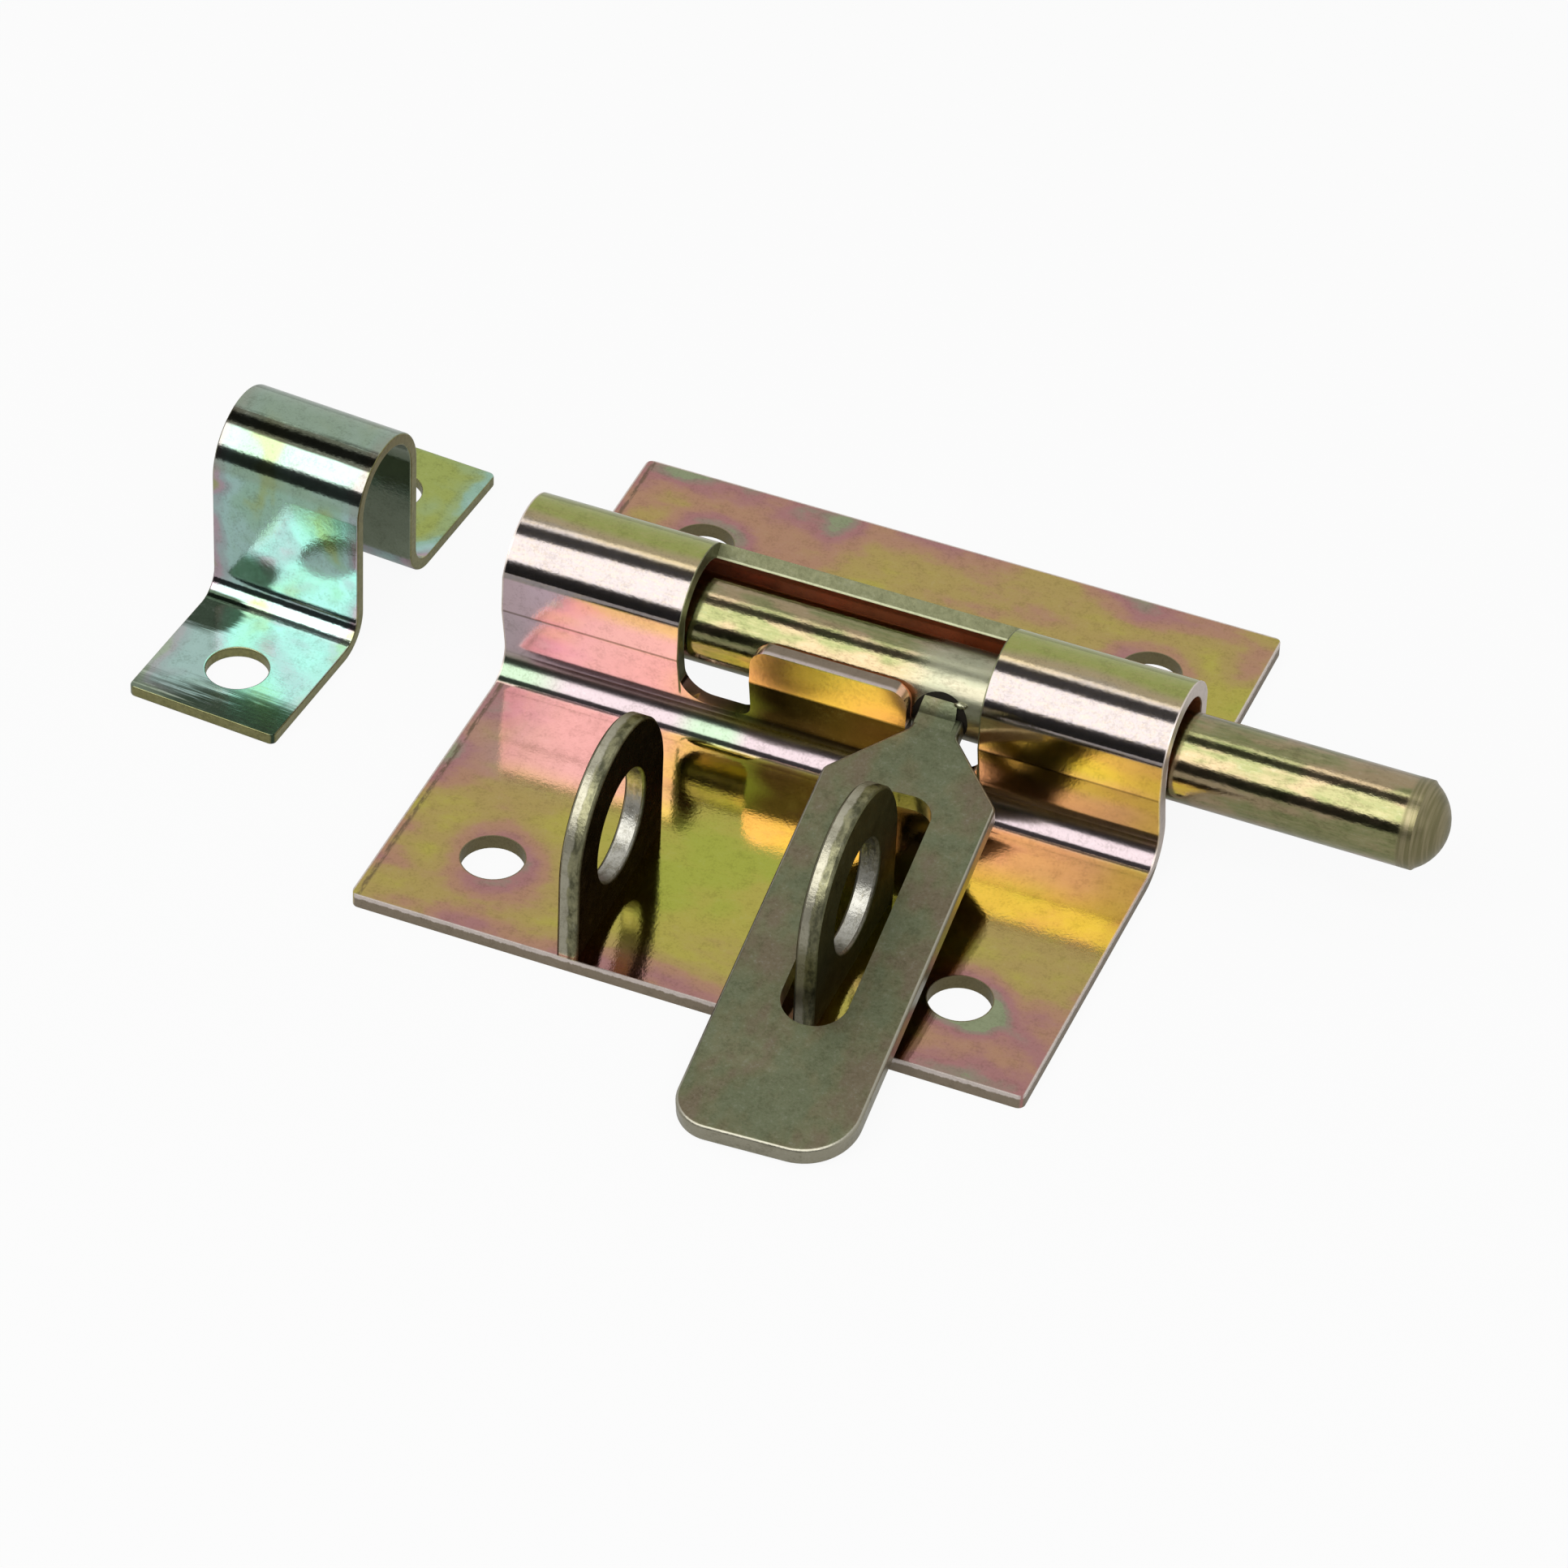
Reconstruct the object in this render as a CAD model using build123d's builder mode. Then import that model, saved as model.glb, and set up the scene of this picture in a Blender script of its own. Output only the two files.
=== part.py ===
from build123d import *
from math import cos, radians, sin, tan
import os

# Padbolt: a round bolt in a pressed barrel plate, locked by a slotted handle, with its keep.
# Millimetres, +Z up, the plate's underside on Z = 0. X runs along the bolt, +X towards its tip,
# and the handle falls forwards, towards -Y. The origin is the middle of the four plate screws.

# Back plate, one pressed sheet
plate_length = 80.0
plate_depth = 85.0
sheet = 1.8
plate_corner = 0.9
screw_hole = 7.3
screw_edge = 12.0

# Bolt rod
rod_diameter = 10.4
rod_height = 12.5
rod_setback = 6.2
rod_reach = 31.3
rod_start = 3.3
tip_step = 0.3
tip_crown = 2.7
rod_chamfer = 0.6

# Barrel rolled out of the plate round the rod
barrel_clearance = 0.74
barrel_rise = 1.2
crease_angle = 17.0
flat_angle = 19.0
flank_lean = 11.0
foot_radius = 3.5

# Window in the barrel, with the guard tab left standing in it
collar_length = 21.8
window_rear_angle = 38.0
notch_width = 8.7
notch_floor = 5.4
notch_outer_round = 3.5
notch_inner_round = 1.6
tab_top = 16.2
tab_round = 2.2

# Padlock staples
plate_stock = 2.5
staple_side = 1.35
staple_width = 24.2
staple_height = 24.4
staple_front = 0.3
staple_eye = 13.0
staple_eye_drop = 0.5
staple_tenon = 12.0
staple_edge = 0.35

# Handle, a flat slotted hasp
neck_side = 0.35
handle_tilt = 9.3
handle_skew = 2.9
handle_reach = 68.6
handle_width = 20.3
neck_width = 5.6
neck_length = 2.4
neck_gap = 0.15
neck_round = 1.5
shoulder_length = 8.45
shoulder_round = 1.4
handle_left_round = 4.5
handle_right_round = 6.5
handle_edge = 0.5
slot_start = 17.4
slot_length = 34.5
slot_width = 7.7
slot_round = 3.0

# Keep, a bent strap
keep_width = 19.0
keep_sheet = 1.5
keep_inside = 11.4
keep_height = 25.0
keep_flange = 20.0
keep_foot = 3.0
keep_corner = 0.8
keep_screw_edge = 8.6
keep_away = 26.8
keep_turn = -3.9

# Sizes that follow from the ones above
rod_radius = rod_diameter / 2
barrel_outer = rod_radius + barrel_clearance + sheet
barrel_height = rod_height + barrel_rise
window_length = plate_length - 2 * collar_length
tab_width = window_length - 2 * notch_width
handle_place = tab_width / 2 + neck_side + neck_width / 2
staple_spacing = 2 * (handle_place + staple_side)
screw_pitch_x = plate_length - 2 * screw_edge
screw_pitch_y = plate_depth - 2 * screw_edge
front_edge = -plate_depth / 2
above = barrel_height + 2 * barrel_outer


def arched_sheet(low, high, middle, height, radius, crease, flat, lean, foot, thickness):
    """Section of a sheet bent up over an arch: its upper face, thickened downwards."""
    crease_y = radius * cos(radians(crease))
    crease_z = height - radius * sin(radians(crease))
    flat_y = radius * cos(radians(flat))
    flat_z = height + radius * sin(radians(flat))
    root_y = crease_y - (crease_z - thickness) * tan(radians(lean))
    with BuildLine() as path:
        FilletPolyline((low, thickness), (middle - root_y, thickness),
                       (middle - crease_y, crease_z), radius=foot)
        if flat > 0:
            Line((middle - crease_y, crease_z), (middle - flat_y, flat_z))
        ThreePointArc((middle - flat_y, flat_z), (middle, height + radius), (middle + flat_y, flat_z))
        if flat > 0:
            Line((middle + flat_y, flat_z), (middle + crease_y, crease_z))
        FilletPolyline((middle + crease_y, crease_z), (middle + root_y, thickness),
                       (high, thickness), radius=foot)
        offset(amount=thickness, side=Side.RIGHT)
    return path.line


# Back plate: flange, barrel and flange as one bent section
barrel_section = arched_sheet(front_edge, -front_edge, rod_setback, barrel_height, barrel_outer,
                              crease_angle, flat_angle, flank_lean, foot_radius, sheet)
with BuildPart() as back_plate:
    with BuildSketch(Plane.YZ):
        add(barrel_section)
        make_face()
    extrude(amount=plate_length / 2, both=True)
    outer_faces = back_plate.faces().filter_by(Plane.XZ).sort_by(Axis.Y)
    plate_corners = outer_faces[0].edges().filter_by(Axis.Z) + outer_faces[-1].edges().filter_by(Axis.Z)
    fillet(plate_corners, radius=plate_corner)
    # Screw holes
    with GridLocations(screw_pitch_x, screw_pitch_y, 2, 2):
        Hole(screw_hole / 2)
    # Slots that take the staples' tenons
    with BuildSketch():
        with Locations((0, front_edge + staple_front + staple_width / 2)):
            with GridLocations(staple_spacing, 0, 2, 1):
                Rectangle(plate_stock, staple_tenon)
    extrude(amount=sheet, mode=Mode.SUBTRACT)
    # Front of the window: two notches with the guard tab between them
    with BuildSketch(Plane.XZ.offset(-rod_setback)) as opening:
        with Locations((0, notch_floor)):
            Rectangle(window_length, above, align=(Align.CENTER, Align.MIN))
        Rectangle(tab_width, tab_top, align=(Align.CENTER, Align.MIN), mode=Mode.SUBTRACT)
        floor_corners = opening.vertices().group_by(Axis.Y)[0].sort_by(Axis.X)
        fillet([floor_corners[0], floor_corners[-1]], radius=notch_outer_round)
        floor_corners = opening.vertices().group_by(Axis.Y)[0].sort_by(Axis.X)
        fillet(floor_corners[1:-1], radius=notch_inner_round)
        tab_corners = opening.vertices().filter_by(lambda corner: abs(corner.Y - tab_top) < 0.01)
        fillet(tab_corners, radius=tab_round)
    extrude(amount=2 * barrel_outer, mode=Mode.SUBTRACT)
    # Back of the window, cut square to the rolled sheet
    window_back = rod_setback + (above - barrel_height) * tan(radians(window_rear_angle))
    with BuildSketch(Plane.YZ):
        with BuildLine():
            Polyline((rod_setback, barrel_height), (rod_setback, above), (window_back, above), close=True)
        make_face()
    extrude(amount=window_length / 2, both=True, mode=Mode.SUBTRACT)
back_plate.part.label = "back_plate"

# Bolt rod, turned, with a crowned tip
rod_left = -plate_length / 2 + rod_start
rod_right = plate_length / 2 + rod_reach
rod_top = rod_height + rod_radius
crown_radius = ((rod_radius - tip_step) ** 2 + tip_crown ** 2) / (2 * tip_crown)
with BuildPart() as bolt_rod:
    with BuildSketch(Plane.XZ.offset(-rod_setback)):
        with BuildLine():
            Polyline((rod_right, rod_height), (rod_left, rod_height), (rod_left, rod_top - rod_chamfer),
                     (rod_left + rod_chamfer, rod_top), (rod_right - tip_crown - tip_step, rod_top),
                     (rod_right - tip_crown, rod_top - tip_step))
            RadiusArc((rod_right - tip_crown, rod_top - tip_step), (rod_right, rod_height), crown_radius)
        make_face()
    revolve(axis=Axis((0, rod_setback, rod_height), (1, 0, 0)))
bolt_rod.part.label = "bolt_rod"

# Padlock staples: round-topped plates standing across the bolt
staple_radius = staple_width / 2
staple_middle = front_edge + staple_front + staple_radius
staple_centre = staple_height - staple_radius
with BuildPart() as left_staple:
    with BuildSketch(Plane.YZ.offset(-staple_spacing / 2)):
        with Locations((staple_middle, sheet)):
            Rectangle(staple_width, staple_centre - sheet, align=(Align.CENTER, Align.MIN))
        with Locations((staple_middle, staple_centre)):
            Circle(staple_radius)
        with Locations((staple_middle, staple_centre - staple_eye_drop)):
            Circle(staple_eye / 2, mode=Mode.SUBTRACT)
    extrude(amount=plate_stock / 2, both=True)
    rims = left_staple.faces().filter_by(Plane.YZ).edges()
    chamfer(rims.filter_by(lambda rim: rim.center().Z > sheet + staple_edge), length=staple_edge)
    with BuildSketch(Plane.YZ.offset(-staple_spacing / 2)):
        with Locations((staple_middle, 0)):
            Rectangle(staple_tenon, sheet, align=(Align.CENTER, Align.MIN))
    extrude(amount=plate_stock / 2, both=True)
left_staple.part.label = "left_staple"

with BuildPart() as right_staple:
    with Locations((staple_spacing, 0, 0)):
        add(left_staple.part)
right_staple.part.label = "right_staple"

# Handle: drawn flat in its own plane, which leans down from the rod's axis
drop = radians(handle_tilt)
turn = radians(handle_skew)
handle_plane = Plane(origin=(handle_place, rod_setback, rod_height),
                     x_dir=(sin(turn), -cos(turn) * cos(drop), -cos(turn) * sin(drop)),
                     z_dir=(0, -sin(drop), cos(drop)))
shoulder_start = rod_radius + neck_gap + neck_length
shoulder_end = shoulder_start + shoulder_length
half_neck = neck_width / 2
half_handle = handle_width / 2
with BuildPart() as handle:
    with BuildSketch(handle_plane) as blank:
        with BuildLine():
            Polyline((0, -half_neck), (shoulder_start, -half_neck), (shoulder_end, -half_handle),
                     (handle_reach, -half_handle), (handle_reach, half_handle),
                     (shoulder_end, half_handle), (shoulder_start, half_neck), (0, half_neck), close=True)
        make_face()
        corners = blank.vertices().group_by(Axis.X)
        fillet(corners[1], radius=neck_round)
        corners = blank.vertices().filter_by(lambda corner: abs(corner.X - shoulder_end) < 0.01)
        fillet(corners, radius=shoulder_round)
        corners = blank.vertices().filter_by(lambda corner: abs(corner.X - handle_reach) < 0.01)
        fillet(corners.sort_by(Axis.Y)[0], radius=handle_left_round)
        corners = blank.vertices().filter_by(lambda corner: abs(corner.X - handle_reach) < 0.01)
        fillet(corners.sort_by(Axis.Y)[-1], radius=handle_right_round)
    extrude(amount=plate_stock / 2, both=True)
    rims = handle.faces().filter_by(handle_plane).edges()
    fillet(rims, radius=handle_edge)
    # Slot that drops over a staple
    with BuildSketch(handle_plane):
        with BuildLine():
            slot_end = slot_start + slot_length - slot_width / 2
            half_slot = slot_width / 2
            FilletPolyline((slot_end, -half_slot), (slot_start, -half_slot), (slot_start, half_slot),
                           (slot_end, half_slot), radius=slot_round)
            ThreePointArc((slot_end, half_slot), (slot_start + slot_length, 0), (slot_end, -half_slot))
        make_face()
    extrude(amount=plate_stock, both=True, mode=Mode.SUBTRACT)
    # Saddle where the neck meets the rod
    with Locations(Location((handle_place, rod_setback, rod_height), (0, 90, 0))):
        Cylinder(rod_radius + neck_gap, 2 * handle_width, mode=Mode.SUBTRACT)
handle.part.label = "handle"

# Keep: a strap arched over the bolt's tip, lying beside the plate
keep_section = arched_sheet(-keep_inside / 2 - keep_sheet - keep_flange,
                            keep_inside / 2 + keep_sheet + keep_flange, 0,
                            keep_height - keep_inside / 2 - keep_sheet, keep_inside / 2 + keep_sheet,
                            0, 0, 0, keep_foot, keep_sheet)
keep_place = Location((-plate_length / 2 - keep_away, rod_setback, 0), (0, 0, keep_turn))
keep_pitch = keep_inside + 2 * (keep_sheet + keep_flange - keep_screw_edge)
with BuildPart() as keep_blank:
    with BuildSketch(Plane.YZ):
        add(keep_section)
        make_face()
    extrude(amount=keep_width / 2, both=True)
    ends = keep_blank.faces().filter_by(Plane.XZ).sort_by(Axis.Y)
    fillet(ends[0].edges().filter_by(Axis.Z) + ends[-1].edges().filter_by(Axis.Z), radius=keep_corner)
    with GridLocations(0, keep_pitch, 1, 2):
        Hole(screw_hole / 2)
keep = keep_blank.part.moved(keep_place)
keep.label = "keep"

# One file for each piece
os.makedirs("parts", exist_ok=True)
export_step(back_plate.part, "parts/back_plate.step")
export_step(left_staple.part, "parts/left_staple.step")
export_step(right_staple.part, "parts/right_staple.step")
export_step(bolt_rod.part, "parts/bolt_rod.step")
export_step(handle.part, "parts/handle.step")
export_step(keep, "parts/keep.step")
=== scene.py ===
import math

import bmesh
import bpy
from mathutils import Matrix, Vector


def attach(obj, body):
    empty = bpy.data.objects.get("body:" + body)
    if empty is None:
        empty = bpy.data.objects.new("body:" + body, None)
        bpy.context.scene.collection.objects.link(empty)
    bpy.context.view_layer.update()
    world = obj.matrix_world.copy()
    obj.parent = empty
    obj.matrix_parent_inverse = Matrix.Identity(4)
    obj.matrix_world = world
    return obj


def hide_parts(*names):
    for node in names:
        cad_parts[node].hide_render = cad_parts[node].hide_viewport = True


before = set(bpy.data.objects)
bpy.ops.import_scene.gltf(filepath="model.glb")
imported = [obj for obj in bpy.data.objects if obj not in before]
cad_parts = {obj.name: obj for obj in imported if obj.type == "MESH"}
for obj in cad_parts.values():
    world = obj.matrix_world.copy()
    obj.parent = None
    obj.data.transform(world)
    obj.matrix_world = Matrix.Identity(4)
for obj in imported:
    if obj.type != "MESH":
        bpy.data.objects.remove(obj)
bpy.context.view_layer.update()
print("frame loaded")


# small helpers for node trees
def put(tree, kind, inputs=None, **settings):
    node = tree.nodes.new(kind)
    for name, value in settings.items():
        setattr(node, name, value)
    for key, value in (inputs or {}).items():
        if isinstance(value, bpy.types.NodeSocket):
            tree.links.new(value, node.inputs[key])
        else:
            node.inputs[key].default_value = value
    return node


def calc(tree, operation, *values):
    return put(tree, "ShaderNodeMath", dict(enumerate(values)), operation=operation).outputs[0]


def minus(tree, first, second):
    return calc(tree, "SUBTRACT", first, second)


def total(tree, first, *others):
    for other in others:
        first = calc(tree, "ADD", first, other)
    return first


def product(tree, first, *others):
    for other in others:
        first = calc(tree, "MULTIPLY", first, other)
    return first


def spread(tree, first, second):
    return calc(tree, "SQRT", total(tree, product(tree, first, first), product(tree, second, second)))


# value moved up and down by a noise
def sway(tree, wave, amount, value):
    return calc(tree, "MULTIPLY_ADD", minus(tree, wave, 0.5), amount, value)


# smooth step of a value from low to high
def ease(tree, value, low, high, start=0.0, end=1.0):
    node = put(tree, "ShaderNodeMapRange", {0: value, 1: low, 2: high, 3: start, 4: end},
               interpolation_type="SMOOTHSTEP")
    return node.outputs[0]


# soft line where a value is close to its centre
def near(tree, value, centre, inner, outer, peak=1.0):
    return ease(tree, calc(tree, "ABSOLUTE", minus(tree, value, centre)), inner, outer, peak, 0.0)


def blend(tree, factor, first, second, mode="MIX"):
    inputs = {0: factor}
    for index, colour in ((6, first), (7, second)):
        inputs[index] = colour if isinstance(colour, bpy.types.NodeSocket) else (*colour[:3], 1.0)
    node = put(tree, "ShaderNodeMix", inputs, data_type="RGBA", blend_type=mode, clamp_result=False)
    return node.outputs[2]


def ramp(tree, value, stops, interpolation="EASE"):
    node = put(tree, "ShaderNodeValToRGB", {0: value})
    node.color_ramp.interpolation = interpolation
    band = node.color_ramp.elements
    while len(band) < len(stops):
        band.new(0.5)
    for element, (place, colour) in zip(band, stops):
        element.position = place
        element.color = (*colour, 1.0)
    return node.outputs[0]


def noise(tree, vector, scale, detail=3.0, roughness=0.55, distortion=0.0):
    node = put(tree, "ShaderNodeTexNoise", {"Vector": vector, "Scale": scale, "Detail": detail,
                                            "Roughness": roughness, "Distortion": distortion})
    return node.outputs[0]


def stretch(tree, vector, scale, place=(0.0, 0.0, 0.0)):
    node = put(tree, "ShaderNodeMapping", {"Vector": vector, "Scale": scale, "Location": place},
               vector_type="POINT")
    return node.outputs[0]


def bump(tree, height, strength, distance, under=None):
    inputs = {"Height": height, "Strength": strength, "Distance": distance}
    if under is not None:
        inputs["Normal"] = under
    return put(tree, "ShaderNodeBump", inputs).outputs[0]


def newGroup(name, inputs, outputs):
    tree = bpy.data.node_groups.new(name, "ShaderNodeTree")
    for label, kind, value in inputs:
        socket = tree.interface.new_socket(name=label, in_out="INPUT", socket_type=kind)
        if kind != "NodeSocketVector":
            socket.default_value = value
    for label, kind in outputs:
        tree.interface.new_socket(name=label, in_out="OUTPUT", socket_type=kind)
    return tree, tree.nodes.new("NodeGroupInput"), tree.nodes.new("NodeGroupOutput")


def placeGroup(tree, group, inputs):
    return put(tree, "ShaderNodeGroup", inputs, node_tree=group)


# new metal material and its place in millimetres
def newMaterial(name):
    material = bpy.data.materials.new(name)
    material.use_nodes = True
    tree = material.node_tree
    shader = tree.nodes["Principled BSDF"]
    coords = put(tree, "ShaderNodeTexCoord").outputs["Object"]
    return material, tree, shader, stretch(tree, coords, (1000.0, 1000.0, 1000.0))


# cloudy thickness of a chromate film: 0 thin and green-gold, 1 thick and pink
def makeFilmGroup():
    tree, source, result = newGroup("chromateFilm", [
        ("Vector", "NodeSocketVector", None), ("Base", "NodeSocketFloat", 0.5),
        ("Cloud Size", "NodeSocketFloat", 18.0), ("Cloud Depth", "NodeSocketFloat", 0.5),
        ("Streak Depth", "NodeSocketFloat", 0.1)], [("Thickness", "NodeSocketFloat")])
    size = calc(tree, "DIVIDE", 1.0, source.outputs["Cloud Size"])
    cloud = noise(tree, source.outputs["Vector"], size, 2.0, 0.5, 0.6)
    fine = noise(tree, source.outputs["Vector"], product(tree, size, 9.0), 3.0, 0.6, 0.3)
    value = sway(tree, cloud, source.outputs["Cloud Depth"], source.outputs["Base"])
    value = sway(tree, fine, source.outputs["Streak Depth"], value)
    tree.links.new(value, result.inputs["Thickness"])
    return tree


# fine texture of rolled or drawn metal: a height and a mottle
def makeGrainGroup():
    tree, source, result = newGroup("metalGrain", [
        ("Vector", "NodeSocketVector", None), ("Grain Size", "NodeSocketFloat", 0.5),
        ("Pit Size", "NodeSocketFloat", 2.5), ("Pit Depth", "NodeSocketFloat", 0.4)],
        [("Height", "NodeSocketFloat"), ("Mottle", "NodeSocketFloat")])
    grainScale = calc(tree, "DIVIDE", 1.0, source.outputs["Grain Size"])
    pitScale = calc(tree, "DIVIDE", 1.0, source.outputs["Pit Size"])
    grain = noise(tree, source.outputs["Vector"], grainScale, 3.0, 0.6)
    pits = noise(tree, source.outputs["Vector"], pitScale, 2.0, 0.5)
    height = calc(tree, "MULTIPLY_ADD", pits, source.outputs["Pit Depth"], grain)
    tree.links.new(height, result.inputs["Height"])
    tree.links.new(product(tree, total(tree, grain, pits), 0.5), result.inputs["Mottle"])
    return tree


# dark specks of dust and pickling, and paler ones where the zinc shows
def makeSpeckGroup():
    tree, source, result = newGroup("fineSpecks", [
        ("Colour", "NodeSocketColor", (0.5, 0.5, 0.5, 1.0)), ("Vector", "NodeSocketVector", None),
        ("Depth", "NodeSocketFloat", 0.3)], [("Colour", "NodeSocketColor")])
    fine = noise(tree, source.outputs["Vector"], 3.2, 3.0, 0.75)
    broad = noise(tree, source.outputs["Vector"], 0.55, 3.0, 0.7)
    both = calc(tree, "MULTIPLY_ADD", broad, 0.5, product(tree, fine, 0.5))
    dark = product(tree, ease(tree, both, 0.36, 0.52, 1.0, 0.0), source.outputs["Depth"])
    pale = product(tree, ease(tree, both, 0.54, 0.66), product(tree, source.outputs["Depth"], 0.12))
    colour = blend(tree, dark, source.outputs["Colour"], (0.30, 0.28, 0.22), "MULTIPLY")
    colour = blend(tree, pale, colour, (1.0, 1.0, 0.95), "SCREEN")
    tree.links.new(colour, result.inputs["Colour"])
    return tree


filmGroup = makeFilmGroup()
grainGroup = makeGrainGroup()
speckGroup = makeSpeckGroup()


def layFilm(tree, vector, base, cloudSize, cloudDepth, streakDepth):
    return placeGroup(tree, filmGroup, {"Vector": vector, "Base": base, "Cloud Size": cloudSize,
                                        "Cloud Depth": cloudDepth, "Streak Depth": streakDepth}).outputs[0]


def layGrain(tree, vector, grainSize, pitSize, pitDepth):
    grain = placeGroup(tree, grainGroup, {"Vector": vector, "Grain Size": grainSize, "Pit Size": pitSize,
                                          "Pit Depth": pitDepth})
    return grain.outputs["Height"], grain.outputs["Mottle"]


def speckle(tree, colour, vector, depth):
    return placeGroup(tree, speckGroup, {"Colour": colour, "Vector": vector, "Depth": depth}).outputs[0]


def finishMetal(tree, shader, colour, roughness, normal):
    shader.inputs["Metallic"].default_value = 1.0
    tree.links.new(colour, shader.inputs["Base Color"])
    tree.links.new(roughness, shader.inputs["Roughness"])
    tree.links.new(normal, shader.inputs["Normal"])


# back plate: sizes in millimetres, colours as seen in a pale room; a range is from, to, start, end
plateLook = {
    "halfLength": 40.0, "halfDepth": 42.5, "holeX": 28.0, "holeY": 30.5, "holeRadius": 3.65,
    "barrelY": 6.2, "barrelZ": 13.7, "creaseZ": 11.44, "foldZ": 4.6, "windowHalf": 18.2, "windowBack": 38.0,
    "tabHalf": 9.5, "tabTop": 16.2, "scuffX": -38.7,
    "filmColours": [(0.00, (0.42, 0.45, 0.07)), (0.26, (0.49, 0.43, 0.09)), (0.46, (0.47, 0.35, 0.12)),
                    (0.64, (0.48, 0.27, 0.17)), (0.82, (0.43, 0.21, 0.20)), (0.94, (0.33, 0.26, 0.20)),
                    (1.00, (0.30, 0.34, 0.20))],
    "thinSpot": (2.0, -22.0), "thinFilm": (4.0, 22.0, 0.12, 0.40), "rimFilm": (0.0, 7.0, 0.36, 0.0),
    "holeFilm": (0.2, 4.2, 0.32, 0.0), "rearFilm": (12.0, 17.0, 0.0, 0.11),
    # first range along the bolt, the others from front to back
    "filmPatches": [((16.0, 30.0, 0.0, 0.26), (-24.0, -34.0)), ((22.0, 30.0, 0.0, -0.30), (-26.0, -8.0)),
                    ((-30.0, -37.0, 0.0, 0.40), (-24.0, -14.0), (8.0, 2.0))],
    "topColours": [(0.00, (0.34, 0.30, 0.30)), (0.36, (0.34, 0.30, 0.29)), (0.43, (0.42, 0.34, 0.20)),
                   (0.50, (0.34, 0.37, 0.11)), (1.00, (0.34, 0.40, 0.10))],
    "frontColours": [(0.00, (0.55, 0.42, 0.44)), (0.12, (0.66, 0.50, 0.57)), (0.30, (0.72, 0.54, 0.60)),
                     (0.385, (0.84, 0.50, 0.46)), (0.50, (0.80, 0.55, 0.32)), (0.61, (0.82, 0.50, 0.32)),
                     (0.75, (0.60, 0.44, 0.26)), (0.90, (0.64, 0.48, 0.24)), (1.00, (0.44, 0.32, 0.20))],
    # flank colours along the bolt; the near-black middle stops are painted shade under the tab
    "flankColoursAndShade": [(0.00, (0.50, 0.40, 0.42)), (0.12, (0.66, 0.48, 0.56)), (0.28, (0.70, 0.48, 0.54)),
                   (0.36, (0.14, 0.18, 0.06)), (0.42, (0.05, 0.035, 0.02)), (0.62, (0.08, 0.045, 0.02)),
                   (0.75, (0.58, 0.38, 0.26)), (1.00, (0.34, 0.24, 0.18))],
    "topFleck": (0.52, 0.40, 0.20), "creaseShade": (0.12, 0.08, 0.05), "scuffColour": (0.14, 0.10, 0.06),
    "footColour": (0.34, 0.28, 0.29), "footGreen": (0.27, 0.35, 0.25), "flankReflectionPink": (0.50, 0.30, 0.30),
    "insideColour": (0.80, 0.30, 0.13), "wallColour": (0.20, 0.17, 0.09),
    "cutDark": (0.28, 0.23, 0.17), "cutPale": (0.70, 0.62, 0.57), "shearedShade": (0.09, 0.10, 0.05),
    "shearedPale": (0.26, 0.26, 0.15), "innerLine": (0.60, 0.62, 0.42), "tabRim": (0.56, 0.48, 0.44),
    "tabRimBack": (0.24, 0.19, 0.14), "speckDepth": 0.24, "roughness": 0.08, "cutRoughness": 0.45,
    "flankLift": 0.16,
}


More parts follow.
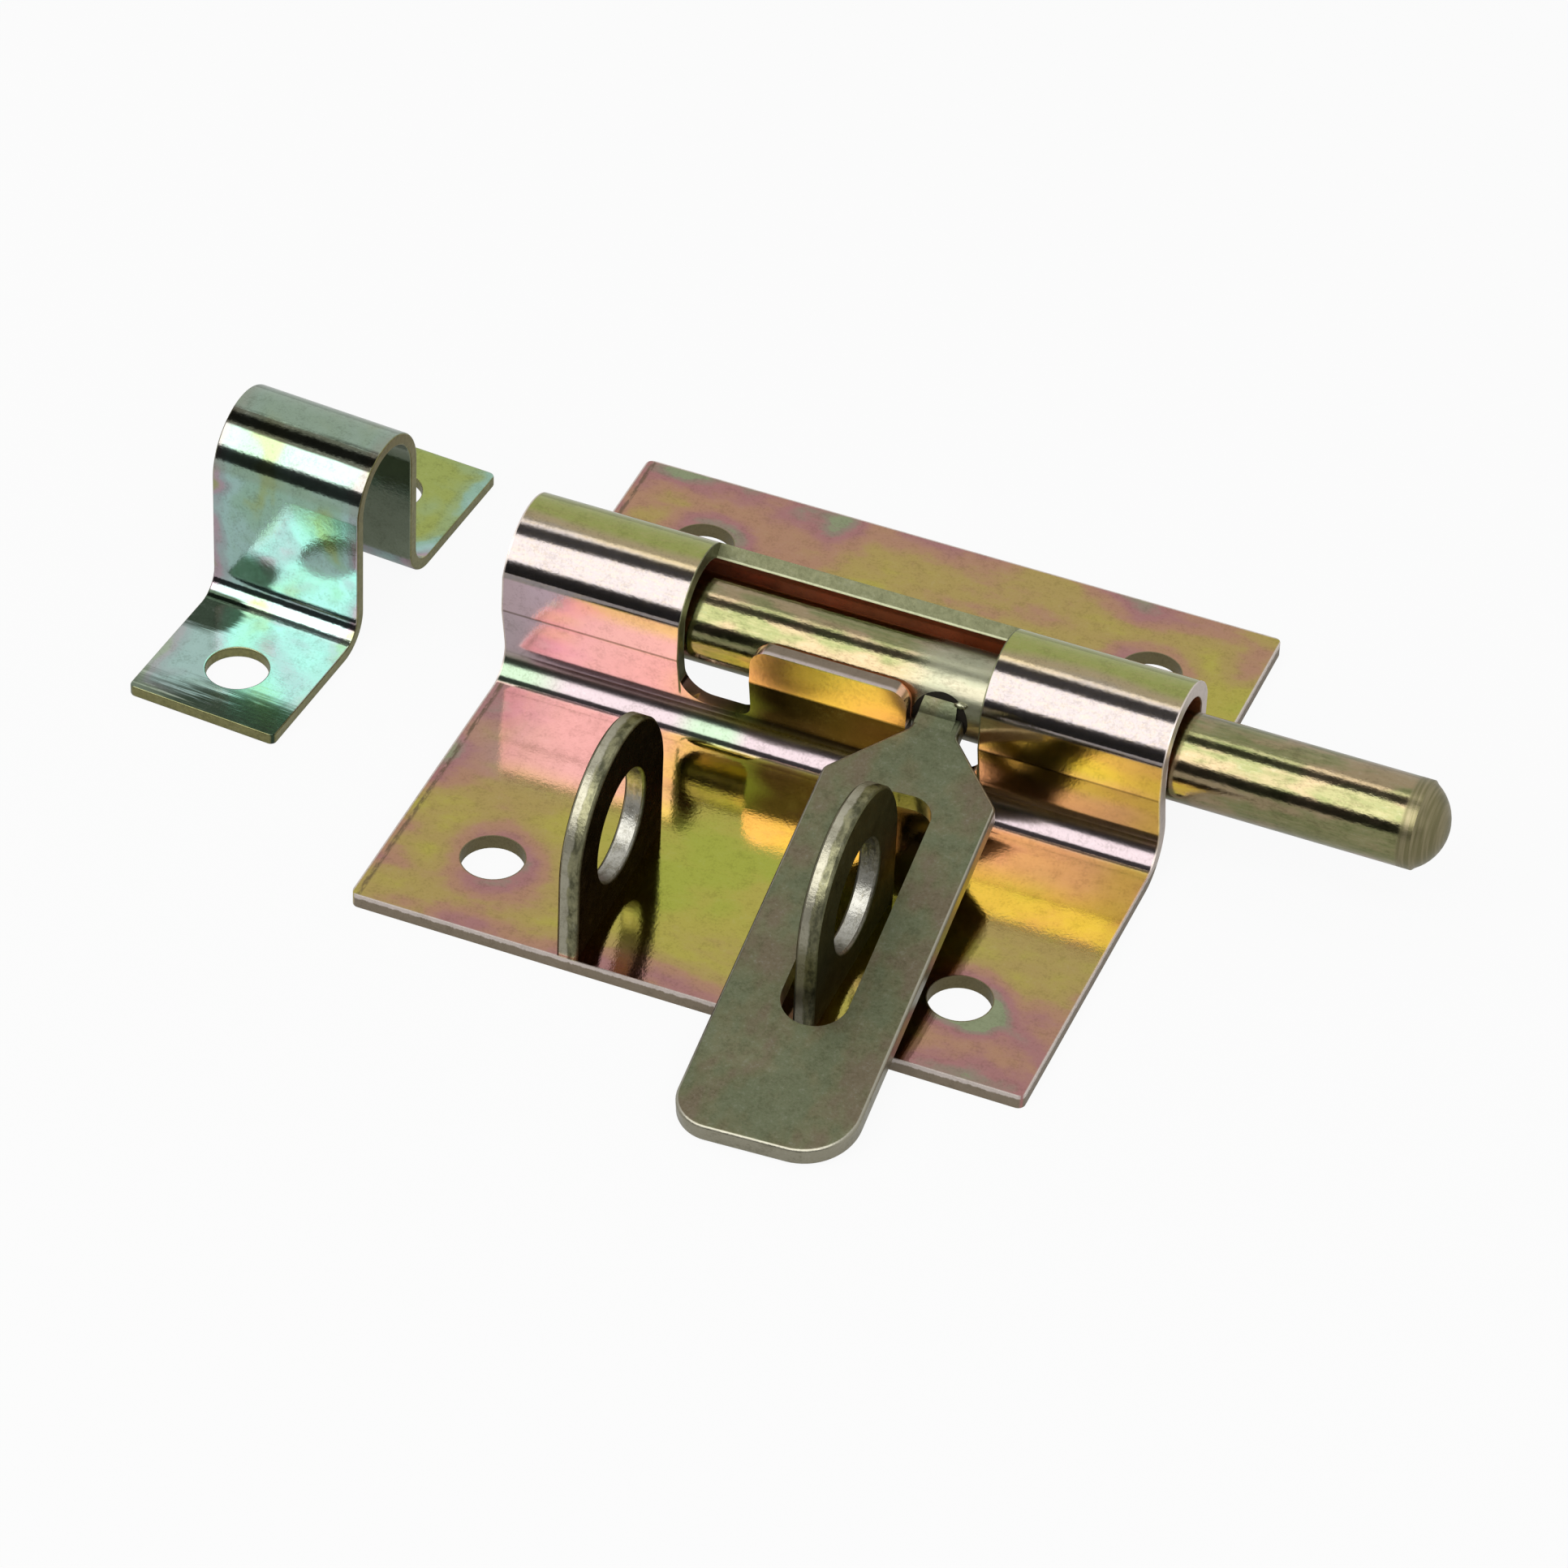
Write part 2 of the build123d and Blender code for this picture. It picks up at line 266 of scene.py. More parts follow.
def makePlateMaterial():
    look = plateLook
    material, tree, shader, mm = newMaterial("pressedPlateChromate")
    x, y, z = put(tree, "ShaderNodeSeparateXYZ", {0: mm}).outputs
    absX = calc(tree, "ABSOLUTE", x)
    absY = calc(tree, "ABSOLUTE", y)
    border = calc(tree, "MINIMUM", minus(tree, look["halfLength"], absX),
                  minus(tree, look["halfDepth"], absY))
    toHole = spread(tree, minus(tree, absX, look["holeX"]), minus(tree, absY, look["holeY"]))
    holeGap = minus(tree, toHole, look["holeRadius"])
    # film on the flanges: thin and yellow between the staples, thick at the rim and round the holes
    drift = noise(tree, stretch(tree, mm, (0.055, 0.08, 0.08), place=(4.0, 1.5, 0.0)), 1.0, 2.0)
    thinX, thinY = look["thinSpot"]
    thin = spread(tree, product(tree, minus(tree, x, thinX), 0.8), minus(tree, y, thinY))
    base = total(tree, ease(tree, thin, *look["thinFilm"]),
                 product(tree, ease(tree, border, *look["rimFilm"]), ease(tree, drift, 0.36, 0.64)),
                 ease(tree, holeGap, *look["holeFilm"]), ease(tree, y, *look["rearFilm"]))
    for alongX, *alongY in look["filmPatches"]:
        patch = product(tree, ease(tree, x, *alongX), *[ease(tree, y, *part) for part in alongY])
        base = total(tree, base, patch)
    film = layFilm(tree, stretch(tree, mm, (0.62, 1.0, 1.0)), base, 13.0, 1.10, 0.22)
    colour = ramp(tree, film, look["filmColours"])
    # painted reflection: pink patches in the flange before the barrel's foot, where the flank's pink shows in
    # it
    flankReflectionLeft = product(tree, ease(tree, x, -14.0, -24.0), ease(tree, y, -20.0, -13.0))
    flankReflectionRight = product(tree, ease(tree, x, 8.0, 18.0, 0.0, 0.6), ease(tree, y, -12.0, -7.0))
    flankReflection = product(tree, calc(tree, "MAXIMUM", flankReflectionLeft, flankReflectionRight), ease(tree, y, 5.0, 2.0, 0.0, 0.8),
                   ease(tree, absX, 38.0, 33.0, 0.35, 1.0))
    colour = blend(tree, flankReflection, colour, look["flankReflectionPink"])
    # rolled top of the barrel, by the angle about its axis from front to back
    behind = minus(tree, y, look["barrelY"])
    over = minus(tree, z, look["barrelZ"])
    absBehind = calc(tree, "ABSOLUTE", behind)
    reach = spread(tree, behind, over)
    wander = noise(tree, stretch(tree, mm, (0.05, 0.16, 0.16)), 1.0, 2.0)
    angle = calc(tree, "DIVIDE", calc(tree, "ARCTAN2", over, product(tree, behind, -1.0)), math.pi)
    angle = sway(tree, wander, 0.16, angle)
    fleck = noise(tree, stretch(tree, mm, (0.9, 2.4, 2.4)), 1.0, 4.0, 0.7)
    top = blend(tree, ease(tree, fleck, 0.42, 0.66, 0.0, 0.18), ramp(tree, angle, look["topColours"]),
                look["topFleck"])
    # pressed front: silvery pink at the left, painted shade on the flank under the tab, orange and yellow to
    # the right
    along = sway(tree, wander, 0.12, calc(tree, "MULTIPLY_ADD", x, 0.5 / look["halfLength"], 0.5))
    front = blend(tree, ease(tree, z, 11.3, 11.5), ramp(tree, along, look["flankColoursAndShade"]),
                  ramp(tree, along, look["frontColours"]))
    barrel = blend(tree, ease(tree, z, 16.05, 16.35), front, top)
    # painted shade: a thin dark line along the crease
    barrel = blend(tree, near(tree, z, look["creaseZ"], 0.07, 0.22, 0.65), barrel, look["creaseShade"])
    onBarrel = product(tree, ease(tree, absBehind, 8.4, 9.6, 1.0, 0.0), ease(tree, z, 3.2, 5.4))
    colour = blend(tree, onBarrel, colour, barrel)
    # the bend at the foot is stretched and stays bright
    foot = product(tree, ease(tree, z, 1.86, 2.1), ease(tree, z, 5.0, 4.0), ease(tree, absBehind, 6.4, 6.8))
    greener = calc(tree, "MAXIMUM", ease(tree, x, -31.0, -37.0),
                   product(tree, ease(tree, x, -19.0, -15.0), ease(tree, x, -9.0, -12.0)))
    colour = blend(tree, foot, colour, blend(tree, greener, look["footColour"], look["footGreen"]))
    # unlit inside of the barrel
    inside = product(tree, ease(tree, reach, 6.15, 6.0), ease(tree, z, 7.0, 8.0))
    colour = blend(tree, product(tree, inside, 0.9), colour, look["insideColour"])
    # scuffed line along the left edge
    scuff = noise(tree, stretch(tree, mm, (2.4, 0.5, 1.0)), 1.0, 4.0, 0.7)
    wavyX = calc(tree, "MULTIPLY_ADD", scuff, 0.8, x)
    scuff = product(tree, near(tree, wavyX, look["scuffX"], 0.10, 0.40, 0.75), ease(tree, scuff, 0.36, 0.56))
    colour = blend(tree, product(tree, scuff, ease(tree, z, 2.0, 1.9)), colour, look["scuffColour"])
    # sheared and punched edges: pale where the punch rolled them over, brown below
    chips = noise(tree, stretch(tree, mm, (1.6, 1.6, 1.2)), 1.0, 4.0, 0.7)
    rim = ease(tree, border, 0.06, 0.26, 1.0, 0.0)
    rimColour = blend(tree, ease(tree, calc(tree, "MULTIPLY_ADD", chips, 0.7, z), 1.55, 1.75),
                      look["cutDark"], look["cutPale"])
    colour = blend(tree, rim, colour, rimColour)
    wall = ease(tree, holeGap, 0.04, 0.20, 1.0, 0.0)
    colour = blend(tree, wall, colour, look["wallColour"])
    # cut edges of the window and the tab; the window's cut faces are painted near-black as shade, with paler
    # chips
    windowHalf, tabHalf = look["windowHalf"], look["tabHalf"]
    inWindow = product(tree, ease(tree, absX, windowHalf - 0.05, windowHalf + 0.1, 1.0, 0.0),
                       ease(tree, z, 14.0, 15.0))
    rearAngle = minus(tree, calc(tree, "ARCTAN2", behind, over), math.radians(look["windowBack"]))
    rearCut = product(tree, near(tree, rearAngle, 0.0, 0.015, 0.03), inWindow)
    endCut = product(tree, near(tree, absX, windowHalf, 0.08, 0.2), ease(tree, z, 5.6, 6.4),
                     ease(tree, rearAngle, 0.04, 0.0))
    windowCut = calc(tree, "MAXIMUM", rearCut, endCut)
    tabRim = product(tree, near(tree, z, look["tabTop"], 0.10, 0.22),
                     ease(tree, absX, tabHalf - 0.1, tabHalf + 0.2, 1.0, 0.0),
                     ease(tree, y, 0.9, 2.0, 1.0, 0.0))
    tabColour = blend(tree, ease(tree, y, -0.85, -0.35), look["tabRim"], look["tabRimBack"])
    colour = blend(tree, windowCut, colour, blend(tree, chips, look["shearedShade"], look["shearedPale"]))
    innerLine = product(tree, rearCut, ease(tree, reach, 6.05, 6.28, 1.0, 0.0))
    colour = blend(tree, innerLine, colour, look["innerLine"])
    colour = blend(tree, tabRim, colour, tabColour)
    cut = calc(tree, "MAXIMUM", calc(tree, "MAXIMUM", rim, wall), windowCut)
    colour = speckle(tree, colour, mm, look["speckDepth"])
    # rolling lines and grain
    grain, mottle = layGrain(tree, mm, 0.45, 3.0, 0.6)
    lines = noise(tree, stretch(tree, mm, (2.6, 0.10, 0.10)), 1.0, 3.0, 0.6)
    lineMask = product(tree, ease(tree, x, 14.0, 34.0), ease(tree, y, -24.0, -36.0))
    height = calc(tree, "MULTIPLY_ADD", lines, calc(tree, "MULTIPLY_ADD", lineMask, 1.6, 0.25), grain)
    height = calc(tree, "MULTIPLY_ADD", product(tree, chips, cut), 4.0, height)
    # glossy film, duller on the cuts, inside the barrel and where the sheet is bent or rolled
    rough = sway(tree, mottle, 0.10, look["roughness"])
    rough = total(tree, rough, product(tree, cut, look["cutRoughness"] - look["roughness"]))
    rough = calc(tree, "MULTIPLY_ADD", inside, 0.3, rough)
    rolled = product(tree, onBarrel, ease(tree, z, 15.6, 16.4, 0.0, 0.04))
    flatFront = product(tree, onBarrel, ease(tree, z, 16.6, 16.1), ease(tree, absX, 10.0, 12.0, 0.14, 0.05))
    bend = product(tree, ease(tree, z, 2.0, 2.6), ease(tree, z, 6.5, 5.0, 0.0, 0.12))
    # the flank under the crease is pressed nearly upright
    slope = calc(tree, "MINIMUM", calc(tree, "MAXIMUM", z, look["foldZ"]), look["creaseZ"])
    slope = product(tree, minus(tree, look["creaseZ"], slope), look["flankLift"])
    upright = bump(tree, slope, 1.0, 0.001)
    finishMetal(tree, shader, colour, total(tree, rough, rolled, flatFront, bend),
                bump(tree, height, 0.08, 0.00010, upright))
    return material


# bolt: drawn bar with long streaks
rodLook = {
    "tipX": 68.4, "colours": [(0.0, (0.16, 0.18, 0.07)), (0.40, (0.22, 0.23, 0.10)),
                              (0.62, (0.30, 0.28, 0.14)), (1.0, (0.44, 0.40, 0.25))],
    "pink": (0.42, 0.30, 0.19), "dull": (0.40, 0.40, 0.30), "ringDark": (0.20, 0.18, 0.09),
    "ringPale": (0.30, 0.26, 0.15), "speckDepth": 0.36, "roughness": 0.13,
}


def makeRodMaterial():
    look = rodLook
    material, tree, shader, mm = newMaterial("drawnBarChromate")
    x = put(tree, "ShaderNodeSeparateXYZ", {0: mm}).outputs[0]
    film = layFilm(tree, stretch(tree, mm, (0.35, 1.0, 1.0)), 0.46, 6.0, 0.7, 0.5)
    streaks = noise(tree, stretch(tree, mm, (0.12, 2.2, 2.2)), 1.0, 4.0, 0.65)
    colour = ramp(tree, sway(tree, streaks, 0.6, film), look["colours"], "LINEAR")
    pinkCloud = noise(tree, stretch(tree, mm, (0.12, 0.35, 0.35), place=(3.0, 9.0, 4.0)), 1.0, 2.0)
    colour = blend(tree, ease(tree, pinkCloud, 0.44, 0.60, 0.0, 0.7), colour, look["pink"])
    # the middle of the bar, under the handle, is greyer and duller
    dull = product(tree, ease(tree, x, 6.0, 12.0), ease(tree, x, 17.0, 19.0, 1.0, 0.0))
    colour = blend(tree, product(tree, dull, 0.7), colour, look["dull"])
    drawn = stretch(tree, mm, (0.5, 1.0, 1.0))
    grain, mottle = layGrain(tree, drawn, 0.32, 1.3, 0.6)
    colour = speckle(tree, colour, drawn, look["speckDepth"])
    rough = calc(tree, "MULTIPLY_ADD", dull, 0.2, sway(tree, mottle, 0.22, look["roughness"]))
    # the crown is turned, with faint rings
    crown = ease(tree, x, look["tipX"] - 1.9, look["tipX"] - 1.3)
    rings = noise(tree, stretch(tree, mm, (3.0, 0.12, 0.12)), 1.0, 2.0)
    rings = ramp(tree, rings, [(0.35, look["ringDark"]), (0.65, look["ringPale"])])
    colour = blend(tree, crown, colour, rings)
    rough = calc(tree, "MULTIPLY_ADD", crown, 0.22, rough)
    finishMetal(tree, shader, colour, rough, bump(tree, grain, 0.14, 0.00010))
    return material


# handle: sheared strip with dull faces; its rim and rounded edges are painted pale, partly bare metal and
# wear, partly painted highlight
handleLook = {
    "tilt": 9.3, "root": (12.65, 6.2, 12.5), "halfThick": 1.25, "faceColour": (0.20, 0.195, 0.115),
    "faceDark": (0.115, 0.12, 0.062), "brownTint": (0.17, 0.13, 0.09), "greenTint": (0.135, 0.16, 0.095),
    "fleck": (0.24, 0.23, 0.17), "rimColour": (0.34, 0.32, 0.24), "wornEdgeAndHighlight": (0.46, 0.44, 0.36),
    "speckDepth": 0.35, "roughness": 0.34,
}


def makeHandleMaterial():
    look = handleLook
    material, tree, shader, mm = newMaterial("shearedStripHandle")
    # distance from the handle's own middle plane
    drop = math.radians(look["tilt"])
    normalZ = (0.0, -math.sin(drop), math.cos(drop))
    offset = sum(a * b for a, b in zip(look["root"], normalZ))
    lift = put(tree, "ShaderNodeVectorMath", {0: mm, 1: normalZ}, operation="DOT_PRODUCT").outputs["Value"]
    lift = calc(tree, "ABSOLUTE", minus(tree, lift, offset))
    half = look["halfThick"]
    rim = ease(tree, lift, half - 0.26, half, 1.0, 0.0)
    film = layFilm(tree, mm, 0.5, 9.0, 0.9, 0.8)
    colour = blend(tree, film, look["faceDark"], look["faceColour"])
    tint = noise(tree, stretch(tree, mm, (0.16, 0.10, 0.1), place=(2.0, 7.0, 0.0)), 1.0, 3.0, 0.6)
    colour = blend(tree, ease(tree, tint, 0.46, 0.60, 0.0, 0.7), colour, look["brownTint"])
    colour = blend(tree, ease(tree, tint, 0.50, 0.38, 0.0, 0.6), colour, look["greenTint"])
    fleck = noise(tree, mm, 2.2, 4.0, 0.7)
    colour = blend(tree, ease(tree, fleck, 0.50, 0.72, 0.0, 0.25), colour, look["fleck"])
    # side walls painted paler: bare sheared metal and painted highlight
    colour = blend(tree, rim, colour, look["rimColour"])
    colour = speckle(tree, colour, mm, look["speckDepth"])
    # pale line along the rounded edges: wear and painted highlight
    wearAndHighlight = product(tree, ease(tree, lift, half - 0.30, half - 0.06),
                   ease(tree, lift, half - 0.015, half - 0.06))
    colour = blend(tree, product(tree, wearAndHighlight, 0.8), colour, look["wornEdgeAndHighlight"])
    grain, mottle = layGrain(tree, mm, 0.35, 1.2, 0.8)
    rough = calc(tree, "MULTIPLY_ADD", mottle, 0.18, look["roughness"])
    rough = calc(tree, "MULTIPLY_ADD", rim, -0.12, rough)
    finishMetal(tree, shader, colour, rough, bump(tree, grain, 0.20, 0.00014))
    return material


# staples: the same strip, blanked, with an eye
stapleLook = {
    "centre": 14.0, "halfThick": 1.25, "eyeY": -30.1, "eyeZ": 11.8, "eyeRadius": 6.5,
    "faceLeftShaded": (0.055, 0.042, 0.02), "faceRight": (0.15, 0.155, 0.085), "faceFilm": (0.13, 0.12, 0.06),
    "burnished": (0.40, 0.38, 0.29), "tornDark": (0.10, 0.10, 0.06), "tornPale": (0.28, 0.27, 0.16),
    "eyeColour": (0.46, 0.45, 0.40), "eyeTorn": (0.22, 0.20, 0.13), "sheen": (0.25, 0.21, 0.13),
    "speckDepth": 0.4, "roughness": 0.28,
}


def makeStapleMaterial():
    look = stapleLook
    material, tree, shader, mm = newMaterial("blankedStaple")
    x, y, z = put(tree, "ShaderNodeSeparateXYZ", {0: mm}).outputs
    across = minus(tree, calc(tree, "ABSOLUTE", x), look["centre"])
    half = look["halfThick"]
    rim = ease(tree, calc(tree, "ABSOLUTE", across), half - 0.20, half - 0.02, 1.0, 0.0)
    reach = spread(tree, minus(tree, y, look["eyeY"]), minus(tree, z, look["eyeZ"]))
    eye = product(tree, ease(tree, reach, look["eyeRadius"] + 0.2, look["eyeRadius"] + 0.6, 1.0, 0.0), rim)
    # painted shade: the left staple's face is near-black, the right staple's face paler
    face = blend(tree, ease(tree, x, -5.0, 5.0), look["faceLeftShaded"], look["faceRight"])
    film = layFilm(tree, mm, 0.5, 7.0, 1.0, 0.8)
    colour = blend(tree, product(tree, film, 0.5), face, look["faceFilm"])
    # the rim shows the two stages of the blanking: a burnished side and a torn one
    tear = noise(tree, stretch(tree, mm, (0.9, 0.45, 0.45)), 1.0, 4.0, 0.6)
    outward = product(tree, across, calc(tree, "SIGN", x))
    torn = ease(tree, sway(tree, tear, 1.2, outward), -0.15, 0.15)
    tornColour = ramp(tree, tear, [(0.36, look["tornDark"]), (0.62, look["tornPale"])])
    colour = blend(tree, rim, colour, blend(tree, torn, look["burnished"], tornColour))
    eyeTear = noise(tree, stretch(tree, mm, (1.0, 0.7, 0.7)), 0.9, 4.0, 0.7)
    colour = blend(tree, eye, colour, look["eyeColour"])
    tornEye = product(tree, eye, ease(tree, eyeTear, 0.48, 0.66, 0.0, 0.6))
    colour = blend(tree, tornEye, colour, look["eyeTorn"])
    colour = speckle(tree, colour, mm, look["speckDepth"])
    grain, mottle = layGrain(tree, mm, 0.35, 1.3, 0.9)
    height = calc(tree, "MULTIPLY_ADD", product(tree, tear, torn, rim), 1.2, grain)
    height = calc(tree, "MULTIPLY_ADD", product(tree, eyeTear, eye), 2.0, height)
    rough = calc(tree, "MULTIPLY_ADD", mottle, 0.18, look["roughness"])
    shader.inputs["Specular Tint"].default_value = (*look["sheen"], 1.0)
    finishMetal(tree, shader, colour, rough, bump(tree, height, 0.22, 0.00018))
    return material


# keep: glossy strap with a cold film
keepLook = {
    "turn": -3.9, "centreX": -66.8, "centreY": 6.2, "halfWidth": 9.5, "halfLength": 27.2, "holeY": 18.6,
    "holeRadius": 3.65, "crownZ": 17.2, "archZ": 17.8,
    "colours": [(0.0, (0.38, 0.44, 0.12)), (0.22, (0.36, 0.46, 0.20)), (0.40, (0.34, 0.54, 0.42)),
                (0.58, (0.40, 0.60, 0.56)), (0.74, (0.38, 0.46, 0.46)), (0.88, (0.46, 0.36, 0.40)),
                (1.0, (0.38, 0.38, 0.20))],
    "flange": (0.46, 0.64, 0.58), "top": (0.26, 0.33, 0.22), "inside": (0.24, 0.28, 0.20),
    "line": (0.045, 0.07, 0.045), "archDarkReflection": (0.04, 0.038, 0.025), "crown": (0.30, 0.38, 0.29),
    "cutColour": (0.36, 0.34, 0.14), "cutDark": (0.12, 0.12, 0.06), "speckDepth": 0.3, "roughness": 0.11,
}


def makeKeepMaterial():
    look = keepLook
    material, tree, shader, mm = newMaterial("bentStrapChromate")
    # the strap lies turned, so its own axes are found first
    own = put(tree, "ShaderNodeVectorRotate",
              {"Vector": mm, "Center": (look["centreX"], look["centreY"], 0.0),
               "Angle": -math.radians(look["turn"])}, rotation_type="Z_AXIS").outputs[0]
    ownX, ownY, z = put(tree, "ShaderNodeSeparateXYZ", {0: own}).outputs
    x = minus(tree, ownX, look["centreX"])
    y = minus(tree, ownY, look["centreY"])
    absX = calc(tree, "ABSOLUTE", x)
    absY = calc(tree, "ABSOLUTE", y)
    border = calc(tree, "MINIMUM", minus(tree, look["halfWidth"], absX),
                  minus(tree, look["halfLength"], absY))
    holeGap = minus(tree, spread(tree, x, minus(tree, absY, look["holeY"])), look["holeRadius"])
    base = total(tree, ease(tree, z, 2.0, 22.0, 0.55, 0.42), ease(tree, border, 0.0, 3.0, 0.35, 0.0),
                 ease(tree, y, 8.0, 16.0, 0.0, -0.5))
    colour = ramp(tree, layFilm(tree, own, base, 9.0, 1.5, 0.12), look["colours"])
    # the front flange is paler, with dark rolling lines at its free edge and beside the bend
    lines = noise(tree, stretch(tree, own, (0.07, 1.7, 0.1)), 1.0, 4.0, 0.7)
    low = ease(tree, z, 2.3, 1.85)
    colour = blend(tree, product(tree, low, ease(tree, y, 0.0, -5.0, 0.0, 0.45)), colour, look["flange"])
    edgeLines = product(tree, ease(tree, y, -18.5, -26.5), ease(tree, x, -9.0, 7.0, 0.35, 1.0))
    footPatch = product(tree, ease(tree, y, -16.0, -12.0), ease(tree, x, -2.0, -6.5, 0.0, 1.1),
                        ease(tree, y, 0.0, -5.0))
    lined = product(tree, calc(tree, "MAXIMUM", edgeLines, footPatch), low)
    lined = product(tree, ease(tree, calc(tree, "MULTIPLY_ADD", lined, 0.42, lines), 0.54, 0.72),
                    ease(tree, lined, 0.0, 0.6))
    colour = blend(tree, lined, colour, look["line"])
    colour = blend(tree, ease(tree, z, 18.5, 19.5, 0.0, 0.45), colour, look["top"])
    # a painted dark reflection darkens the arch over its crown's front; the angle is in degrees up from the
    # front
    angle = calc(tree, "ARCTAN2", minus(tree, z, look["crownZ"]), product(tree, y, -1.0))
    angle = sway(tree, lines, 6.0, calc(tree, "DIVIDE", angle, math.radians(1.0)))
    onTop = ease(tree, z, 19.0, 20.0)
    colour = blend(tree, product(tree, ease(tree, angle, 72.0, 78.0, 0.0, 0.7), onTop), colour, look["crown"])
    shade = product(tree, ease(tree, angle, 56.0, 59.0), ease(tree, angle, 79.0, 74.0, 0.0, 0.95), onTop)
    colour = blend(tree, shade, colour, look["archDarkReflection"])
    # inside of the arch, painted darker as shade
    arch = spread(tree, y, minus(tree, z, look["archZ"]))
    inArch = ease(tree, z, look["archZ"] - 0.1, look["archZ"] + 0.1)
    underArch = ease(tree, product(tree, arch, inArch), 5.95, 5.8)
    within = product(tree, ease(tree, absY, 5.85, 5.75), ease(tree, z, 2.0, 4.0), underArch)
    colour = blend(tree, within, colour, look["inside"])
    cut = calc(tree, "MAXIMUM", ease(tree, border, 0.03, 0.16, 1.0, 0.0),
               ease(tree, holeGap, 0.04, 0.18, 1.0, 0.0))
    chips = noise(tree, stretch(tree, own, (1.8, 1.8, 1.8)), 1.0, 4.0, 0.7)
    colour = blend(tree, cut, colour, blend(tree, chips, look["cutDark"], look["cutColour"]))
    colour = speckle(tree, colour, own, look["speckDepth"])
    grain, mottle = layGrain(tree, own, 0.5, 3.0, 0.5)
    height = calc(tree, "MULTIPLY_ADD", lines, ease(tree, z, 1.0, 4.0, 1.6, 0.4), grain)
    rough = calc(tree, "MULTIPLY_ADD", cut, 0.22, sway(tree, mottle, 0.12, look["roughness"]))
    finishMetal(tree, shader, colour, rough, bump(tree, height, 0.10, 0.00012))
    return material


plateMaterial = makePlateMaterial()
rodMaterial = makeRodMaterial()
handleMaterial = makeHandleMaterial()
stapleMaterial = makeStapleMaterial()
keepMaterial = makeKeepMaterial()
print("materials made")


# eased edges: widths in metres, angles in degrees
edgeLook = {"plate": 0.00022, "keep": 0.00022, "handle": 0.00028, "segments": 2, "weld": 0.000002,
            "flatAngle": 0.5, "bendAngle": 9.9, "cornerAngle": 34.0}


# copy of a pressed or sheared piece with its sharp edges eased
def easeEdges(node, name, width, material):
    look = edgeLook
    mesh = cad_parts[node].data.copy()
    shell = bmesh.new()
    shell.from_mesh(mesh)
    bmesh.ops.remove_doubles(shell, verts=shell.verts, dist=look["weld"])
    bmesh.ops.dissolve_limit(shell, angle_limit=math.radians(look["flatAngle"]), verts=shell.verts,
                             edges=shell.edges)
    for face in shell.faces:
        face.smooth = True
    for edge in shell.edges:  # a bend line stays crisp, a cut corner is rounded below
        bend = math.degrees(edge.calc_face_angle(0.0))
        edge.smooth = not look["bendAngle"] < bend < look["cornerAngle"]
    shell.to_mesh(mesh)
    shell.free()
    draft = bpy.data.objects.new(name + "Draft", mesh)
    bpy.context.collection.objects.link(draft)
    soft = draft.modifiers.new("easedEdge", "BEVEL")
    soft.width = width
    soft.segments = look["segments"]
    soft.limit_method = "ANGLE"
    soft.angle_limit = math.radians(look["cornerAngle"])
    flat = draft.modifiers.new("flatFaces", "WEIGHTED_NORMAL")
    flat.weight = 100
    flat.keep_sharp = True
    graph = bpy.context.evaluated_depsgraph_get()
    plain = bpy.data.meshes.new_from_object(draft.evaluated_get(graph))
    plain.name = name
    bpy.data.objects.remove(draft)
    piece = bpy.data.objects.new(name, plain)
    bpy.context.collection.objects.link(piece)
    plain.materials.clear()
    plain.materials.append(material)
    return piece


plateShell = easeEdges("back_plate", "plateShell", edgeLook["plate"], plateMaterial)
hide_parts("back_plate")
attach(plateShell, "plate")
keepStrap = easeEdges("keep", "keepStrap", edgeLook["keep"], keepMaterial)
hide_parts("keep")
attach(keepStrap, "plate")
handleStrip = easeEdges("handle", "handleStrip", edgeLook["handle"], handleMaterial)
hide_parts("handle")
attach(handleStrip, "hasp")

for node, material in (("left_staple", stapleMaterial), ("right_staple", stapleMaterial),
                       ("bolt_rod", rodMaterial)):
    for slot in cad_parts[node].material_slots:
        slot.material = material
print("pieces dressed")


# root of the neck, staked in the bolt's cross hole; millimetres, angles up from the bolt's front
neckLook = {
    "axisY": 6.2, "axisZ": 12.5, "rodRadius": 5.2, "centreX": 12.65, "tilt": 9.3, "halfThick": 1.25,
    # distance from the axis and half width where the root leaves the neck
    "neckTop": (7.2, 2.25),
    # angle, radius and half width up to the bolt
    "rootCurve": [(4.8, 5.90, 2.22), (7.6, 5.83, 2.2), (11.5, 5.70, 2.15), (15.5, 5.55, 2.1),
                  (20.0, 5.40, 2.02), (25.0, 5.24, 1.95), (25.0, 4.4, 1.95)],
    "smoothAngle": 35.0,
    "holeRadius": 3.3, "holeShift": 0.15, "holeAngle": -2.0, "holeSides": 40, "holeRows": 12,
    "holeProud": 0.015, "holeDepth": 0.3, "holeShade": (0.012, 0.010, 0.007),
    "burrX": 2.35, "burrAngle": 24.0, "burrSize": (0.00075, 0.0004, 0.0004), "burrRipple": 0.16,
}


def onRod(look, x, degrees, radius):
    turn = math.radians(degrees)
    return (x / 1000, (look["axisY"] - radius * math.cos(turn)) / 1000,
            (look["axisZ"] + radius * math.sin(turn)) / 1000)


def addHaspPiece(name, shell, material):
    bmesh.ops.recalc_face_normals(shell, faces=shell.faces)
    mesh = bpy.data.meshes.new(name)
    shell.to_mesh(mesh)
    shell.free()
    mesh.materials.append(material)
    piece = bpy.data.objects.new(name, mesh)
    bpy.context.collection.objects.link(piece)
    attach(piece, "hasp")
    return piece


